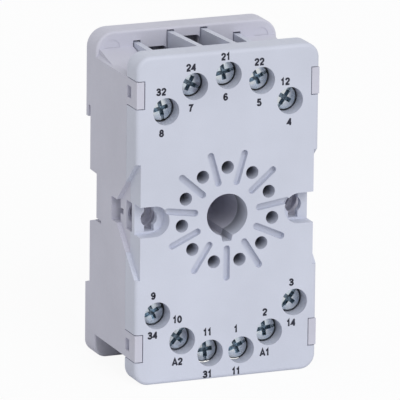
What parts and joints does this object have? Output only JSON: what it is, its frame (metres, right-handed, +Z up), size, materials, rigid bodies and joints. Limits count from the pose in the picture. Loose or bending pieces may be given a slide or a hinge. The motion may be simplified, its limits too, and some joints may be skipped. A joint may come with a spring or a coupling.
{
  "type": "relay socket",
  "caption": "Eleven-pin plug-in relay socket with captive screw terminals at both ends, for a 35 mm rail or panel mounting",
  "frame": {"origin": "centre of the relay's key hole at the front face", "axes": "+X right as the front is seen, +Y into the depth towards the rail, +Z up"},
  "size_m": [0.038, 0.0269, 0.0656],
  "materials": {
    "cover_plastic": "matte",
    "base_plastic": "matte",
    "contact_brass": "satin",
    "zinc_steel": "satin",
    "latch_plastic": "matte",
    "spring_steel": "satin",
    "printed_ink": "matte"
  },
  "bodies": {
    "housing": {"base_housing": "base_plastic", "front_cover": "cover_plastic", "contact_1": "contact_brass", "contact_2": "contact_brass", "contact_3": "contact_brass", "contact_4": "contact_brass", "contact_5": "contact_brass", "contact_6": "contact_brass", "contact_7": "contact_brass", "contact_8": "contact_brass", "contact_9": "contact_brass", "contact_10": "contact_brass", "contact_11": "contact_brass", "latch_spring": "spring_steel"},
    "clamp_1": {"clamp_plate_1": "zinc_steel"},
    "screw_1": {"terminal_screw_1": "zinc_steel"},
    "clamp_2": {"clamp_plate_2": "zinc_steel"},
    "screw_2": {"terminal_screw_2": "zinc_steel"},
    "clamp_3": {"clamp_plate_3": "zinc_steel"},
    "screw_3": {"terminal_screw_3": "zinc_steel"},
    "clamp_4": {"clamp_plate_4": "zinc_steel"},
    "screw_4": {"terminal_screw_4": "zinc_steel"},
    "clamp_5": {"clamp_plate_5": "zinc_steel"},
    "screw_5": {"terminal_screw_5": "zinc_steel"},
    "clamp_6": {"clamp_plate_6": "zinc_steel"},
    "screw_6": {"terminal_screw_6": "zinc_steel"},
    "clamp_7": {"clamp_plate_7": "zinc_steel"},
    "screw_7": {"terminal_screw_7": "zinc_steel"},
    "clamp_8": {"clamp_plate_8": "zinc_steel"},
    "screw_8": {"terminal_screw_8": "zinc_steel"},
    "clamp_9": {"clamp_plate_9": "zinc_steel"},
    "screw_9": {"terminal_screw_9": "zinc_steel"},
    "clamp_10": {"clamp_plate_10": "zinc_steel"},
    "screw_10": {"terminal_screw_10": "zinc_steel"},
    "clamp_11": {"clamp_plate_11": "zinc_steel"},
    "screw_11": {"terminal_screw_11": "zinc_steel"},
    "latch": {"rail_latch": "latch_plastic"}
  },
  "joints": [
    {"name": "clamp_1_slide", "type": "slide", "parent": "housing", "child": "clamp_1", "axis": [0, -1, 0], "range_m": [0, 0.0018]},
    {"name": "screw_1_turn", "type": "hinge", "parent": "clamp_1", "child": "screw_1", "pos_m": [0.00325, 0.004, -0.02747], "axis": [0, -1, 0], "range_deg": [0, 1296.5]},
    {"name": "clamp_2_slide", "type": "slide", "parent": "housing", "child": "clamp_2", "axis": [0, -1, 0], "range_m": [0, 0.0018]},
    {"name": "screw_2_turn", "type": "hinge", "parent": "clamp_2", "child": "screw_2", "pos_m": [0.00915, 0.004, -0.02443], "axis": [0, -1, 0], "range_deg": [0, 1296.5]},
    {"name": "clamp_3_slide", "type": "slide", "parent": "housing", "child": "clamp_3", "axis": [0, -1, 0], "range_m": [0, 0.0018]},
    {"name": "screw_3_turn", "type": "hinge", "parent": "clamp_3", "child": "screw_3", "pos_m": [0.01436, 0.004, -0.01888], "axis": [0, -1, 0], "range_deg": [0, 1296.5]},
    {"name": "clamp_4_slide", "type": "slide", "parent": "housing", "child": "clamp_4", "axis": [0, -1, 0], "range_m": [0, 0.0018]},
    {"name": "screw_4_turn", "type": "hinge", "parent": "clamp_4", "child": "screw_4", "pos_m": [0.0129, 0.004, 0.0217], "axis": [0, -1, 0], "range_deg": [0, 1296.5]},
    {"name": "clamp_5_slide", "type": "slide", "parent": "housing", "child": "clamp_5", "axis": [0, -1, 0], "range_m": [0, 0.0018]},
    {"name": "screw_5_turn", "type": "hinge", "parent": "clamp_5", "child": "screw_5", "pos_m": [0.00697, 0.004, 0.0262], "axis": [0, -1, 0], "range_deg": [0, 1296.5]},
    {"name": "clamp_6_slide", "type": "slide", "parent": "housing", "child": "clamp_6", "axis": [0, -1, 0], "range_m": [0, 0.0018]},
    {"name": "screw_6_turn", "type": "hinge", "parent": "clamp_6", "child": "screw_6", "pos_m": [0, 0.004, 0.0278], "axis": [0, -1, 0], "range_deg": [0, 1296.5]},
    {"name": "clamp_7_slide", "type": "slide", "parent": "housing", "child": "clamp_7", "axis": [0, -1, 0], "range_m": [0, 0.0018]},
    {"name": "screw_7_turn", "type": "hinge", "parent": "clamp_7", "child": "screw_7", "pos_m": [-0.00697, 0.004, 0.0262], "axis": [0, -1, 0], "range_deg": [0, 1296.5]},
    {"name": "clamp_8_slide", "type": "slide", "parent": "housing", "child": "clamp_8", "axis": [0, -1, 0], "range_m": [0, 0.0018]},
    {"name": "screw_8_turn", "type": "hinge", "parent": "clamp_8", "child": "screw_8", "pos_m": [-0.0129, 0.004, 0.0217], "axis": [0, -1, 0], "range_deg": [0, 1296.5]},
    {"name": "clamp_9_slide", "type": "slide", "parent": "housing", "child": "clamp_9", "axis": [0, -1, 0], "range_m": [0, 0.0018]},
    {"name": "screw_9_turn", "type": "hinge", "parent": "clamp_9", "child": "screw_9", "pos_m": [-0.01436, 0.004, -0.01888], "axis": [0, -1, 0], "range_deg": [0, 1296.5]},
    {"name": "clamp_10_slide", "type": "slide", "parent": "housing", "child": "clamp_10", "axis": [0, -1, 0], "range_m": [0, 0.0018]},
    {"name": "screw_10_turn", "type": "hinge", "parent": "clamp_10", "child": "screw_10", "pos_m": [-0.00915, 0.004, -0.02443], "axis": [0, -1, 0], "range_deg": [0, 1296.5]},
    {"name": "clamp_11_slide", "type": "slide", "parent": "housing", "child": "clamp_11", "axis": [0, -1, 0], "range_m": [0, 0.0018]},
    {"name": "screw_11_turn", "type": "hinge", "parent": "clamp_11", "child": "screw_11", "pos_m": [-0.00325, 0.004, -0.02747], "axis": [0, -1, 0], "range_deg": [0, 1296.5]},
    {"name": "latch_slide", "type": "slide", "parent": "housing", "child": "latch", "axis": [0, 0, 1], "range_m": [-0.0024, 0], "stiffness_N_per_m": 400, "springref_m": 0.0015, "deforming": ["latch_spring"]}
  ],
  "couplings": [
    {"joint": "screw_1_turn", "follows": "clamp_1_slide", "rad_per_m": 12566},
    {"joint": "screw_2_turn", "follows": "clamp_2_slide", "rad_per_m": 12566},
    {"joint": "screw_3_turn", "follows": "clamp_3_slide", "rad_per_m": 12566},
    {"joint": "screw_4_turn", "follows": "clamp_4_slide", "rad_per_m": 12566},
    {"joint": "screw_5_turn", "follows": "clamp_5_slide", "rad_per_m": 12566},
    {"joint": "screw_6_turn", "follows": "clamp_6_slide", "rad_per_m": 12566},
    {"joint": "screw_7_turn", "follows": "clamp_7_slide", "rad_per_m": 12566},
    {"joint": "screw_8_turn", "follows": "clamp_8_slide", "rad_per_m": 12566},
    {"joint": "screw_9_turn", "follows": "clamp_9_slide", "rad_per_m": 12566},
    {"joint": "screw_10_turn", "follows": "clamp_10_slide", "rad_per_m": 12566},
    {"joint": "screw_11_turn", "follows": "clamp_11_slide", "rad_per_m": 12566}
  ]
}
